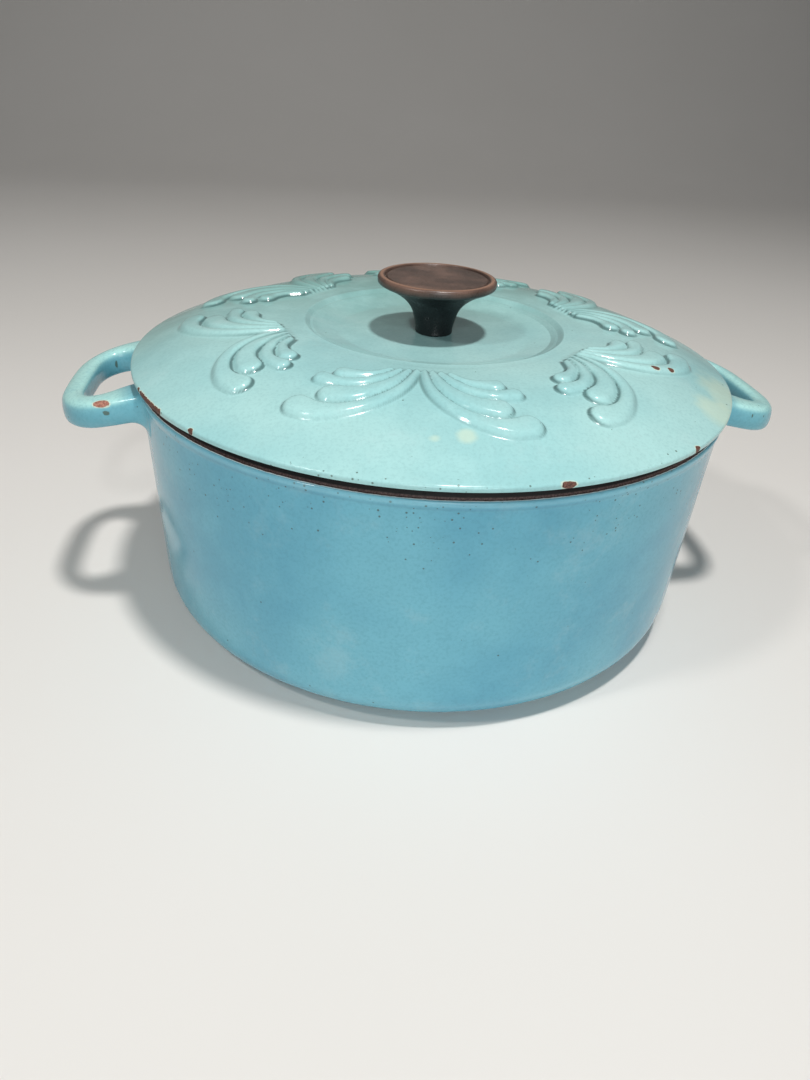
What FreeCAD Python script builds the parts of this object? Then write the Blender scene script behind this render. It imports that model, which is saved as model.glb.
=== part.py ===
"""Round enamelled cast iron dutch oven, 28 cm class.

Millimetres, +Z up.  The origin is on the table, under the middle of the pot; the two loop
handles lie along X.  Every size below is the real size of the object.
"""
import FreeCAD, Part
import math
import os
import Sketcher

doc = FreeCAD.newDocument("DutchOven")

# ---------------------------------------------------------------- driving sizes (mm, degrees)
SIZES = {
    # pot casting
    "foot_inner_radius": 100.0,       # edge of the shallow hollow under the base
    "foot_hollow_depth": 1.2,
    "foot_radius": 118.1,             # flat ring that the pot stands on
    "corner_radius": 18.7,            # turn from the base into the wall
    "corner_top_height": 17.8,
    "wall_foot_radius": 136.8,
    "wall_top_radius": 141.1,         # outside of the wall just under the lip
    "lip_height": 114.0,
    "rim_radius": 141.7,
    "rim_height": 119.6,
    "rim_round": 2.3,                 # outside edge of the rim
    "rim_inner_round": 1.0,
    "wall_thickness": 4.6,
    "floor_thickness": 5.4,
    "inner_corner_radius": 18.8,
    # loop handles
    "handle_slope": 0.22,             # fall of the top face, per mm outwards
    "handle_top_at_tip": 107.7,
    "handle_thickness": 13.2,
    "handle_reach": 176.7,            # from the pot's axis to the tip
    "handle_tip_arc": 76.5,
    "handle_side_arc": 29.0,
    "handle_half_width": 46.0,
    "handle_root_flare": 2.5,
    "handle_root_depth": 139.8,       # the root starts this far from the pot's axis
    "gap_reach": 165.1,               # finger gap: outer limit, half width, half width at wall
    "gap_half_width": 30.4,
    "gap_root_half_width": 21.6,
    "gap_corner_radius": 10.0,
    "handle_edge_round": 3.5,
    # lid casting
    "lid_radius": 143.7,
    "lid_edge_top": 122.95,
    "lid_edge_bottom": 120.4,
    "lid_edge_round": 1.6,
    "dome_shoulder_radius": 120.0,
    "dome_shoulder_height": 132.1,
    "dome_crest_radius": 64.8,
    "dome_crest_height": 138.6,
    "dome_upper_arc": 231.0,
    "dome_lower_arc": 172.0,
    "bead_radius": 62.8,              # rolled bead round the hollow
    "bead_height": 139.1,
    "recess_radius": 47.5,            # flat floor of the hollow
    "recess_height": 133.75,
    "lid_thickness": 4.8,
    "seat_outer_radius": 139.8,       # land that rests on the rim
    "seat_inner_radius": 136.4,
    "locating_ring_radius": 135.7,
    "locating_ring_inner": 132.6,
    "locating_ring_bottom": 115.0,
    "screw_hole_radius": 3.3,
    "motif_count": 6,
    "relief_height": 1.9,
    # knob
    "stem_foot_radius": 9.2,
    "stem_waist_radius": 9.6,
    "stem_waist_height": 138.4,
    "flare_radius": 20.5,
    "flare_height": 152.9,
    "flare_arc": 15.6,
    "knob_radius": 28.5,
    "knob_widest_height": 158.4,
    "knob_ring_height": 160.5,
    "knob_ring_inner": 25.2,
    "knob_disc_radius": 24.2,
    "knob_disc_height": 160.0,
    "insert_radius": 5.0,
    "insert_press": 0.02,
    "insert_bottom": 134.05,
    "insert_top": 146.2,
    "insert_socket_top": 147.0,
    # M6 fastener
    "thread_radius": 3.0,
    "thread_clearance": 0.05,
    "screw_tip": 144.6,
    "screw_head_radius": 6.0,
    "screw_head_height": 3.6,
    "slot_width": 1.4,
    "slot_depth": 1.6,
    "flat_washer_radius": 9.0,
    "flat_washer_thickness": 1.2,
    "lock_washer_radius": 5.9,
    "lock_washer_thickness": 1.5,
    "washer_hole_radius": 3.2,
    "lock_washer_slit": 0.9,
}

sheet = doc.addObject("Spreadsheet::Sheet", "Sizes")
for row, (alias, number) in enumerate(SIZES.items(), start=1):
    sheet.set("A%d" % row, alias.replace("_", " "))
    sheet.set("B%d" % row, str(number))
    sheet.setAlias("B%d" % row, alias)
doc.recompute()


class Size:
    """A number together with the spreadsheet expression that drives it."""

    def __init__(self, number, text):
        self.number = float(number)
        self.text = text

    def joined(self, other, sign, number):
        right = other.text if isinstance(other, Size) else str(other)
        return Size(number, "(%s %s %s)" % (self.text, sign, right))

    def __add__(self, other):
        return self.joined(other, "+", self.number + plain(other))

    def __sub__(self, other):
        return self.joined(other, "-", self.number - plain(other))

    def __mul__(self, other):
        return self.joined(other, "*", self.number * plain(other))


def plain(value):
    return value.number if isinstance(value, Size) else float(value)


def size(alias):
    return Size(SIZES[alias], "Sizes." + alias)


def new_body(label):
    body = doc.addObject("PartDesign::Body", label)
    body.Label = label
    return body


def origin_plane(body, role):
    for feature in body.Origin.OriginFeatures:
        if feature.Role == role:
            return feature
    raise ValueError(role)


def new_sketch(body, name, role):
    sketch = body.newObject("Sketcher::SketchObject", name)
    sketch.AttachmentSupport = [(origin_plane(body, role), "")]
    sketch.MapMode = "FlatFace"
    return sketch


def arc_between(start, end, radius):
    """Minor arc, always drawn anticlockwise; a positive radius bulges to the right."""
    chord = end - start
    right = FreeCAD.Vector(chord.y, -chord.x, 0).normalize()
    side = 1.0 if radius > 0 else -1.0
    depth = math.sqrt(radius * radius - chord.Length ** 2 / 4.0)
    centre = (start + end) * 0.5 - right * (side * depth)
    first, last = (start, end) if radius > 0 else (end, start)
    from_angle = math.atan2(first.y - centre.y, first.x - centre.x)
    to_angle = math.atan2(last.y - centre.y, last.x - centre.x)
    if to_angle < from_angle:
        to_angle += 2.0 * math.pi
    circle = Part.Circle(centre, FreeCAD.Vector(0, 0, 1), abs(radius))
    return Part.ArcOfCircle(circle, from_angle, to_angle)


def pin_vertex(sketch, index, place, x, y):
    """Tie one end of a sketch element to the sheet in both directions."""
    for axis, kind, value in ((-2, "DistanceX", x), (-1, "DistanceY", y)):
        if abs(plain(value)) < 1e-9:
            sketch.addConstraint(Sketcher.Constraint("PointOnObject", index, place, axis))
            continue
        number = sketch.addConstraint(Sketcher.Constraint(kind, index, place, plain(value)))
        if isinstance(value, Size):
            sketch.setExpression("Constraints[%d]" % number, value.text)


def closed_profile(sketch, corners):
    """Closed chain of (x, y) or (x, y, radius); the radius bends the piece to the next corner."""
    points = [FreeCAD.Vector(plain(c[0]), plain(c[1]), 0) for c in corners]
    starts = []
    for index, corner in enumerate(corners):
        start = points[index]
        end = points[(index + 1) % len(points)]
        if len(corner) == 2:
            element = sketch.addGeometry(Part.LineSegment(start, end), False)
            starts.append((element, 1, 2))
            continue
        element = sketch.addGeometry(arc_between(start, end, plain(corner[2])), False)
        starts.append((element, 1, 2) if plain(corner[2]) > 0 else (element, 2, 1))
    for index, (element, first, last) in enumerate(starts):
        after, after_first, _ = starts[(index + 1) % len(starts)]
        sketch.addConstraint(Sketcher.Constraint("Coincident", element, last, after, after_first))
    for index, corner in enumerate(corners):
        pin_vertex(sketch, starts[index][0], starts[index][1], corner[0], corner[1])
        if len(corner) == 3:
            radius = Sketcher.Constraint("Radius", starts[index][0], abs(plain(corner[2])))
            number = sketch.addConstraint(radius)
            if isinstance(corner[2], Size):
                sketch.setExpression("Constraints[%d]" % number, "abs(%s)" % corner[2].text)


def turned_body(label, corners):
    """A body turned about Z from a profile in the XZ plane."""
    body = new_body(label)
    sketch = new_sketch(body, label + "_profile", "XZ_Plane")
    closed_profile(sketch, corners)
    turn = body.newObject("PartDesign::Revolution", label + "_turned")
    turn.Profile = sketch
    turn.ReferenceAxis = (sketch, ["V_Axis"])
    turn.Angle = 360
    body.Tip = turn
    doc.recompute()
    return body


# ---------------------------------------------------------------- pot
def make_pot():
    inner_top = size("rim_radius") - size("wall_thickness")
    inner_foot = size("wall_foot_radius") - size("wall_thickness") + 0.3
    floor = size("floor_thickness")
    floor_edge = inner_foot - size("inner_corner_radius")
    rim = size("rim_height")
    rounding = size("rim_round")
    inner_rounding = size("rim_inner_round")
    return turned_body("pot_body", [
        (0, size("foot_hollow_depth")),
        (size("foot_inner_radius") - 2, size("foot_hollow_depth")),
        (size("foot_inner_radius"), 0),
        (size("foot_radius"), 0, size("corner_radius")),
        (size("wall_foot_radius"), size("corner_top_height")),
        (size("wall_top_radius"), size("lip_height")),
        (size("rim_radius"), size("lip_height") + 1.6),
        (size("rim_radius"), rim - rounding, rounding),
        (size("rim_radius") - rounding, rim),
        (inner_top + inner_rounding, rim, inner_rounding),
        (inner_top, rim - inner_rounding),
        (inner_foot, floor + size("inner_corner_radius"), size("inner_corner_radius") * -1.0),
        (floor_edge, floor),
        (0, floor),
    ])


def edges_on_outline(shape, root_radius):
    """Names of the long edges round a handle, leaving out those of its root faces."""
    names = []
    for number, edge in enumerate(shape.Edges, start=1):
        ends = [vertex.Point for vertex in edge.Vertexes]
        upright = abs(ends[0].z - ends[-1].z) > 0.6 * SIZES["handle_thickness"]
        middle = edge.valueAt(0.5 * (edge.FirstParameter + edge.LastParameter))
        at_root = math.hypot(middle.x, middle.y) < root_radius + 0.4
        if not upright and not at_root:
            names.append("Edge%d" % number)
    return names


def make_handle(label, turn_degrees):
    """Loop handle: a sloping slab trimmed to a C seen from above, with rounded edges."""
    body = new_body(label)
    slope = SIZES["handle_slope"]
    slab_inner = 120.0
    slab_outer = 182.0
    top = size("handle_top_at_tip")
    reach = size("handle_reach")
    thickness = size("handle_thickness")
    fall = size("handle_slope")
    top_inner = top + fall * (SIZES["handle_reach"] - slab_inner)
    top_outer = top - fall * (slab_outer - SIZES["handle_reach"])
    side = new_sketch(body, label + "_side", "XZ_Plane")
    closed_profile(side, [
        (slab_inner, top_inner - thickness),
        (slab_outer, top_outer - thickness),
        (slab_outer, top_outer),
        (slab_inner, top_inner),
    ])
    slab = body.newObject("PartDesign::Pad", label + "_slab")
    slab.Profile = side
    slab.Midplane = True
    slab.Length = 130.0
    doc.recompute()

    # outline seen from above: tip arc, side arcs, straight cheeks, flared roots, finger gap
    tip_arc = SIZES["handle_tip_arc"]
    side_arc = SIZES["handle_side_arc"]
    half = SIZES["handle_half_width"]
    flare = SIZES["handle_root_flare"]
    root = SIZES["handle_root_depth"]
    tip_centre = SIZES["handle_reach"] - tip_arc
    side_y = half - side_arc
    side_x = tip_centre + math.sqrt((tip_arc - side_arc) ** 2 - side_y ** 2)
    lean = math.atan2(side_y, side_x - tip_centre)
    meet = (tip_centre + tip_arc * math.cos(lean), tip_arc * math.sin(lean))
    root_outer = (math.sqrt(root ** 2 - (half + flare) ** 2), half + flare)
    gap_y = SIZES["gap_root_half_width"]
    root_inner = (math.sqrt(root ** 2 - gap_y ** 2), gap_y)
    corner = SIZES["gap_corner_radius"]
    gap_x = SIZES["gap_reach"]
    gap_half = SIZES["gap_half_width"]
    gap_centre = (gap_x - corner, gap_half - corner)
    to_root = math.atan2(gap_y - gap_centre[1], root_inner[0] - gap_centre[0])
    away = math.hypot(gap_y - gap_centre[1], root_inner[0] - gap_centre[0])
    leave = to_root - math.acos(corner / away)
    gap_leave = (gap_centre[0] + corner * math.cos(leave), gap_centre[1] + corner * math.sin(leave))
    plan = new_sketch(body, label + "_plan", "XY_Plane")
    half_chain = [
        (root_inner[0], root_inner[1]),
        (root_outer[0], root_outer[1]),
        (side_x, half, -side_arc),
        (meet[0], meet[1], -tip_arc),
    ]
    back_chain = [
        (meet[0], -meet[1], -side_arc),
        (side_x, -half),
        (root_outer[0], -root_outer[1]),
        (root_inner[0], -root_inner[1]),
        (gap_leave[0], -gap_leave[1], corner),
        (gap_x, -gap_centre[1]),
        (gap_x, gap_centre[1], corner),
        (gap_leave[0], gap_leave[1]),
    ]
    outer = [(slab_inner - 5, -75.0), (slab_outer + 5, -75.0),
             (slab_outer + 5, 75.0), (slab_inner - 5, 75.0)]
    closed_profile(plan, outer)
    closed_profile(plan, half_chain + back_chain)
    trim = body.newObject("PartDesign::Pocket", label + "_trim")
    trim.Profile = plan
    trim.Midplane = True
    trim.Length = 400.0
    doc.recompute()

    rounded = body.newObject("PartDesign::Fillet", label + "_rounded")
    rounded.Base = (trim, edges_on_outline(trim.Shape, root))
    rounded.Radius = 1.0
    rounded.setExpression("Radius", "Sizes.handle_edge_round")
    body.Tip = rounded
    body.Placement = FreeCAD.Placement(
        FreeCAD.Vector(0, 0, 0), FreeCAD.Rotation(FreeCAD.Vector(0, 0, 1), turn_degrees))
    doc.recompute()
    return body


# ---------------------------------------------------------------- lid
def make_lid_casting():
    """The lid without its ornament: dome, hollow, seat and locating ring."""
    wall = size("lid_thickness")
    seat = size("rim_height")
    under_crest = size("dome_crest_height") - wall
    under_floor = size("recess_height") - wall
    return turned_body("lid_casting", [
        (size("screw_hole_radius"), size("recess_height")),
        (size("screw_hole_radius"), under_floor),
        (size("recess_radius") + 3, under_floor),
        (size("dome_crest_radius") + 3, under_crest, size("dome_upper_arc") * -1.0),
        (size("dome_shoulder_radius"), size("dome_shoulder_height") - wall),
        (size("locating_ring_inner") - 0.8, size("lid_edge_top")),
        (size("locating_ring_inner"), size("locating_ring_bottom")),
        (size("locating_ring_radius"), size("locating_ring_bottom")),
        (size("locating_ring_radius") + 0.2, seat),
        (size("seat_outer_radius"), seat),
        (size("seat_outer_radius") + 0.5, size("lid_edge_bottom")),
        (size("lid_radius") - 0.2, size("lid_edge_bottom"), size("lid_edge_round")),
        (size("lid_radius"), size("lid_edge_top"), size("dome_lower_arc")),
        (size("dome_shoulder_radius"), size("dome_shoulder_height"), size("dome_upper_arc")),
        (size("dome_crest_radius"), size("dome_crest_height")),
        (size("bead_radius") + 1.0, size("bead_height") - 0.1, 1.6),
        (size("bead_radius") - 1.4, size("bead_height") - 0.5),
        (size("recess_radius") + 7.0, size("recess_height") + 1.6, -12.0),
        (size("recess_radius"), size("recess_height")),
    ])


def dome_height(radius):
    """Height of the dome's outside at a distance from the axis, on the two turned arcs."""
    crest = FreeCAD.Vector(SIZES["dome_crest_radius"], SIZES["dome_crest_height"], 0)
    shoulder = FreeCAD.Vector(SIZES["dome_shoulder_radius"], SIZES["dome_shoulder_height"], 0)
    edge = FreeCAD.Vector(SIZES["lid_radius"], SIZES["lid_edge_top"], 0)
    if radius <= shoulder.x:
        arc = arc_between(shoulder, crest, SIZES["dome_upper_arc"])
    else:
        arc = arc_between(edge, shoulder, SIZES["dome_lower_arc"])
    return arc.Center.y + math.sqrt(arc.Radius ** 2 - (radius - arc.Center.x) ** 2)


# Centre line of each raised lobe of the palmette, from its foot to its tip:
# (sideways from the motif's axis, distance from the lid's centre, width)
LOBES = [
    [(13.6, 80.0, 3.0), (17.2, 82.6, 4.2), (21.2, 84.6, 5.4), (25.2, 85.3, 7.4),
     (29.4, 84.8, 9.4), (32.8, 84.4, 8.0), (35.4, 84.4, 3.4)],
    [(9.6, 79.6, 3.2), (12.9, 84.0, 4.4), (17.4, 88.8, 5.2), (22.6, 92.2, 5.4),
     (28.6, 93.2, 5.8), (34.4, 92.0, 7.0), (38.8, 89.4, 7.6), (41.4, 87.0, 3.6)],
    [(5.8, 79.4, 3.2), (8.4, 86.0, 4.6), (12.2, 92.6, 5.8), (18.0, 98.2, 7.6),
     (24.4, 101.4, 9.6), (30.4, 101.9, 11.2), (34.6, 101.5, 9.4), (37.2, 101.0, 4.0)],
    [(2.1, 79.2, 3.0), (3.9, 88.0, 3.6), (7.6, 96.8, 4.0), (13.6, 104.2, 4.6),
     (21.0, 109.6, 5.6), (30.0, 113.0, 7.4), (37.8, 112.6, 9.8), (43.6, 109.6, 11.2),
     (46.8, 106.2, 8.6), (48.4, 103.8, 3.6)],
]
ROOT_DEPTH = 1.4                      # how far the relief reaches down into the dome


def lobe_prism(stations, mirror):
    """Upright prism on the outline of one lobe, seen from above."""
    left, right = [], []
    for index, (sideways, outwards, width) in enumerate(stations):
        before = stations[max(index - 1, 0)]
        after = stations[min(index + 1, len(stations) - 1)]
        along = FreeCAD.Vector(mirror * (after[0] - before[0]), after[1] - before[1], 0)
        across = FreeCAD.Vector(along.y, -along.x, 0).normalize() * (0.5 * width)
        middle = FreeCAD.Vector(mirror * sideways, outwards, 0)
        left.append(middle - across)
        right.append(middle + across)
    tip = middle + along.normalize() * 1.2
    sides = Part.BSplineCurve()
    sides.interpolate(left + [tip] + right[::-1])
    foot = Part.LineSegment(right[0], left[0])
    outline = Part.Wire([sides.toShape(), foot.toShape()])
    prism = Part.Face(outline).extrude(FreeCAD.Vector(0, 0, 60))
    prism.translate(FreeCAD.Vector(0, 0, 100))
    return prism


def relief_shell():
    """Ring that follows the dome, from just under its surface to the top of the relief."""
    drop = FreeCAD.Vector(0, -ROOT_DEPTH, 0)
    rise = FreeCAD.Vector(0, SIZES["relief_height"], 0)
    inner = SIZES["dome_crest_radius"] + 2
    crest = FreeCAD.Vector(inner, dome_height(inner), 0)
    shoulder = FreeCAD.Vector(SIZES["dome_shoulder_radius"], SIZES["dome_shoulder_height"], 0)
    upper = arc_between(shoulder + rise, crest + rise, SIZES["dome_upper_arc"])
    lower = arc_between(shoulder + drop, crest + drop, SIZES["dome_upper_arc"])
    wire = Part.Wire([
        upper.toShape(),
        Part.LineSegment(crest + rise, crest + drop).toShape(),
        lower.toShape(),
        Part.LineSegment(shoulder + drop, shoulder + rise).toShape(),
    ])
    face = Part.Face(wire)
    face.rotate(FreeCAD.Vector(0, 0, 0), FreeCAD.Vector(1, 0, 0), 90)
    return face.revolve(FreeCAD.Vector(0, 0, 0), FreeCAD.Vector(0, 0, 1), 360)


def make_ornament():
    """Six palmettes of eight lobes each, spaced evenly round the lid."""
    shell = relief_shell()
    lobes = []
    for motif in range(SIZES["motif_count"]):
        turn = 167.3 + 360.0 / SIZES["motif_count"] * motif
        for stations in LOBES:
            for mirror in (1, -1):
                prism = lobe_prism(stations, mirror)
                prism.rotate(FreeCAD.Vector(0, 0, 0), FreeCAD.Vector(0, 0, 1), turn)
                lobes.extend(shell.common(prism).Solids)
    ornament = doc.addObject("Part::Feature", "lid_ornament")
    ornament.Shape = Part.makeCompound(lobes)
    return ornament


def make_lid():
    casting = make_lid_casting()
    ornament = make_ornament()
    lid = doc.addObject("Part::Feature", "lid")
    lid.Label = "lid"
    lid.Shape = casting.Shape.fuse(ornament.Shape.Solids)
    doc.recompute()
    return lid


# ---------------------------------------------------------------- knob and its fastener
def make_knob():
    ring = size("knob_ring_height")
    disc = size("knob_disc_height")
    return turned_body("knob", [
        (size("insert_radius"), size("recess_height")),
        (size("stem_foot_radius"), size("recess_height")),
        (size("stem_waist_radius"), size("stem_waist_height"), size("flare_arc") * -1.0),
        (size("flare_radius"), size("flare_height")),
        (size("knob_radius") - 0.8, size("knob_widest_height") - 1.8, 1.55),
        (size("knob_radius") - 0.8, ring - 1.2, 1.8),
        (size("knob_radius") - 2.1, ring),
        (size("knob_ring_inner"), ring),
        (size("knob_disc_radius"), disc - 0.7),
        (size("knob_disc_radius") - 0.6, disc),
        (0, disc),
        (0, size("insert_socket_top")),
        (size("insert_radius"), size("insert_socket_top")),
    ])


def make_ring(label, bore, outer, bottom, top):
    return turned_body(label, [(bore, bottom), (outer, bottom), (outer, top), (bore, top)])


def make_screw(head_top):
    """Pan head screw, head down, shank up into the knob's insert."""
    shank = size("thread_radius") - size("thread_clearance")
    head = size("screw_head_radius")
    head_bottom = head_top - size("screw_head_height")
    tip = size("screw_tip")
    body = turned_body("knob_screw", [
        (0, head_bottom),
        (head - 1.2, head_bottom),
        (head, head_bottom + 1.2),
        (head, head_top),
        (shank, head_top),
        (shank, tip - 0.6),
        (shank - 0.6, tip),
        (0, tip),
    ])
    slot = new_sketch(body, "screw_slot_outline", "XZ_Plane")
    half = size("slot_width") * 0.5
    closed_profile(slot, [
        (half * -1.0, head_bottom - 1.0),
        (half, head_bottom - 1.0),
        (half, head_bottom + size("slot_depth")),
        (half * -1.0, head_bottom + size("slot_depth")),
    ])
    cut = body.newObject("PartDesign::Pocket", "screw_slot")
    cut.Profile = slot
    cut.Midplane = True
    cut.Length = 20.0
    body.Tip = cut
    doc.recompute()
    return body


def make_lock_washer(bottom):
    """Split spring washer."""
    body = make_ring("lock_washer", size("washer_hole_radius"), size("lock_washer_radius"),
                     bottom, bottom + size("lock_washer_thickness"))
    slit = new_sketch(body, "lock_washer_slit_outline", "XY_Plane")
    half = size("lock_washer_slit") * 0.5
    closed_profile(slit, [
        (2.0, half * -1.0),
        (9.0, half * -1.0),
        (9.0, half),
        (2.0, half),
    ])
    cut = body.newObject("PartDesign::Pocket", "lock_washer_slit_cut")
    cut.Profile = slit
    cut.Midplane = True
    cut.Length = 400.0
    body.Tip = cut
    doc.recompute()
    return body


def make_all():
    lid_underside = size("recess_height") - size("lid_thickness")
    washer_bottom = lid_underside - size("flat_washer_thickness")
    lock_bottom = washer_bottom - size("lock_washer_thickness")
    return [
        make_pot(),
        make_handle("loop_handle_right", 0),
        make_handle("loop_handle_left", 180),
        make_lid(),
        make_knob(),
        make_ring("knob_insert", size("thread_radius"), size("insert_radius") + size("insert_press"),
                  size("insert_bottom"), size("insert_top")),
        make_ring("flat_washer", size("washer_hole_radius"), size("flat_washer_radius"),
                  washer_bottom, lid_underside),
        make_lock_washer(lock_bottom),
        make_screw(lock_bottom),
    ]


def check_document(parts):
    doc.recompute()
    for item in doc.Objects:
        if "Invalid" in item.State or "Error" in item.State:
            raise RuntimeError("%s is not up to date: %s" % (item.Label, item.State))
    for item in parts:
        shape = item.Shape
        if shape.isNull() or not shape.isValid() or len(shape.Solids) != 1:
            raise RuntimeError("%s is not one valid solid" % item.Label)


parts = make_all()
check_document(parts)
os.makedirs("parts", exist_ok=True)
for item in parts:
    item.Shape.exportStep("parts/%s.step" % item.Label)
    box = item.Shape.BoundBox
    print("%-18s %9.2f cm3  x %7.1f %7.1f  y %7.1f %7.1f  z %6.1f %6.1f" % (
        item.Label, item.Shape.Volume / 1000.0,
        box.XMin, box.XMax, box.YMin, box.YMax, box.ZMin, box.ZMax))
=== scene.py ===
import math

import bmesh
import bpy
import numpy as np
from mathutils import Matrix, Vector


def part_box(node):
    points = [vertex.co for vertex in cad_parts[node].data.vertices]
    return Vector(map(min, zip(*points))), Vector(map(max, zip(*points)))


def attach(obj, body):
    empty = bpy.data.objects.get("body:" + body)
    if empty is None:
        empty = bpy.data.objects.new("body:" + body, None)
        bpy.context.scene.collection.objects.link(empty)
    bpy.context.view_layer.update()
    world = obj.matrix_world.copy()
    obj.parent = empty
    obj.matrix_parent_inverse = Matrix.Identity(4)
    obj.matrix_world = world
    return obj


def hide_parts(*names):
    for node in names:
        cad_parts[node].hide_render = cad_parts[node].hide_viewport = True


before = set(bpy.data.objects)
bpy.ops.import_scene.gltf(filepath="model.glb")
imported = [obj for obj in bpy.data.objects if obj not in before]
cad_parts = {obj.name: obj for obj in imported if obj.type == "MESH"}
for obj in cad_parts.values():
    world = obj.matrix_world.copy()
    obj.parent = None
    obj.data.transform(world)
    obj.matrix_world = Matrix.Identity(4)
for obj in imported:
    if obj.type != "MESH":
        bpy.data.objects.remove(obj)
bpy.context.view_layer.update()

MM = 0.001

# ---------------------------------------------------------------- sizes from the frame

pot_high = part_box("pot_body")[1]
lid_low, lid_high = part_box("lid")
knob_low, knob_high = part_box("knob")
handle_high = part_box("loop_handle_right")[1]
insert_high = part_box("knob_insert")[1]

RIM_RADIUS = pot_high[1] / MM
RIM_HEIGHT = pot_high[2] / MM
LID_RADIUS = lid_high[1] / MM - 0.5
RECESS_HEIGHT = knob_low[2] / MM
KNOB_RADIUS = knob_high[0] / MM
KNOB_TOP = knob_high[2] / MM
HANDLE_REACH = handle_high[0] / MM
INSERT_RADIUS = insert_high[0] / MM


# ---------------------------------------------------------------- mesh helpers

def add_object(name, mesh, body, slot, *nodes):
    """Link a mesh as a piece that rides on a body and stands for some CAD nodes."""
    piece = bpy.data.objects.new(name, mesh)
    bpy.context.scene.collection.objects.link(piece)
    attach(piece, body)
    if nodes:
        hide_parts(*nodes)
    return piece


def make_mesh(name, vertices, faces):
    """Smooth-shaded mesh from vertices in millimetres, with its faces turned outwards."""
    mesh = bpy.data.meshes.new(name)
    mesh.from_pydata([tuple(MM * c for c in v) for v in vertices], [], faces)
    work = bmesh.new()
    work.from_mesh(mesh)
    bmesh.ops.recalc_face_normals(work, faces=work.faces)
    if work.calc_volume(signed=True) < 0.0:       # a deep bowl can come out inside out
        bmesh.ops.reverse_faces(work, faces=work.faces)
    work.to_mesh(mesh)
    work.free()
    mesh.polygons.foreach_set("use_smooth", [True] * len(mesh.polygons))
    mesh.update()
    return mesh


def add_attribute(mesh, name, values):
    attribute = mesh.attributes.new(name, "FLOAT", "POINT")
    attribute.data.foreach_set("value", np.asarray(values, dtype=np.float32))


def rounded(corners, longest=8.0, arc_step=15.0):
    """Outline through corners (x, y, radius), each corner rounded, long runs divided."""
    corners = [(c[0], c[1], c[2] if len(c) > 2 else 0.0) for c in corners]
    outline = []
    last = len(corners) - 1
    for index, (x, y, radius) in enumerate(corners):
        here = Vector((x, y))
        if radius == 0.0 or index in (0, last):
            outline.append(here)
            continue
        before = (Vector(corners[index - 1][:2]) - here).normalized()
        after = (Vector(corners[index + 1][:2]) - here).normalized()
        half = 0.5 * before.angle(after)
        centre = here + (before + after).normalized() * (radius / math.sin(half))
        start = here + before * (radius / math.tan(half)) - centre
        sweep = math.pi - 2.0 * half
        turn = math.copysign(1.0, before.cross(after))
        steps = max(3, math.ceil(math.degrees(sweep) / arc_step))
        for step in range(steps + 1):
            angle = -turn * sweep * step / steps
            spun = Matrix.Rotation(angle, 2) @ start
            outline.append(centre + spun)
    divided = [outline[0]]
    for point in outline[1:]:
        run = point - divided[-1]
        pieces = max(1, math.ceil(run.length / longest))
        start = divided[-1]
        for piece in range(1, pieces + 1):
            divided.append(start + run * (piece / pieces))
    return [(p.x, p.y) for p in divided]


def stitch(lower, upper):
    """Faces between two rings with equal counts, or with one count twice the other."""
    faces = []
    if len(lower) == 1 or len(upper) == 1:
        tip, ring = (lower[0], upper) if len(lower) == 1 else (upper[0], lower)
        count = len(ring)
        return [(tip, ring[k], ring[(k + 1) % count]) for k in range(count)]
    if len(lower) == len(upper):
        count = len(lower)
        for k in range(count):
            n = (k + 1) % count
            faces.append((lower[k], lower[n], upper[n], upper[k]))
        return faces
    coarse, fine = (lower, upper) if len(lower) < len(upper) else (upper, lower)
    count = len(coarse)
    for k in range(count):
        n = (k + 1) % count
        a, b, c = fine[2 * k], fine[2 * k + 1], fine[(2 * k + 2) % len(fine)]
        faces.extend([(coarse[k], a, b), (coarse[k], b, coarse[n]), (coarse[n], b, c)])
    return faces


def ring_stack(rings, closed=False):
    """Vertices and faces from rings of points, joined in order."""
    vertices, faces, numbers = [], [], []
    for ring in rings:
        numbers.append(list(range(len(vertices), len(vertices) + len(ring))))
        vertices.extend(ring)
    for lower, upper in zip(numbers, numbers[1:]):
        faces.extend(stitch(lower, upper))
    if closed:
        faces.extend(stitch(numbers[-1], numbers[0]))
    return vertices, faces


def circle(radius, height, count):
    """Ring of points about Z, or one point where the radius is 0."""
    if radius < 1e-6:
        return [(0.0, 0.0, height)]
    angles = np.arange(count) * (2.0 * math.pi / count)
    return [(radius * math.cos(a), radius * math.sin(a), height) for a in angles]


# ---------------------------------------------------------------- pot

WALL_TOP = (RIM_RADIUS - 0.6, RIM_HEIGHT - 5.6)      # straight part: (radius, height)
WALL_FOOT = (136.8, 17.8)
WALL_THICKNESS = 4.6
INSIDE_DEPTH = 113.0     # over which the inside wall leans as the outside does
FLOOR_HEIGHT = 5.4
FOOT_RING_RADIUS = 98.0
FOOT_RECESS = 1.2
RIM_BEVEL = 5.0          # depth below the rim in which the iron is bare
RIPPLE = 0.10            # how far the casting strays from true
WALL_SLOPE = (WALL_TOP[0] - WALL_FOOT[0]) / (WALL_TOP[1] - WALL_FOOT[1])


def wall_radius(height):
    """Outside of the pot's wall at a height, for the straight part."""
    return WALL_TOP[0] + WALL_SLOPE * (height - WALL_TOP[1])


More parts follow.
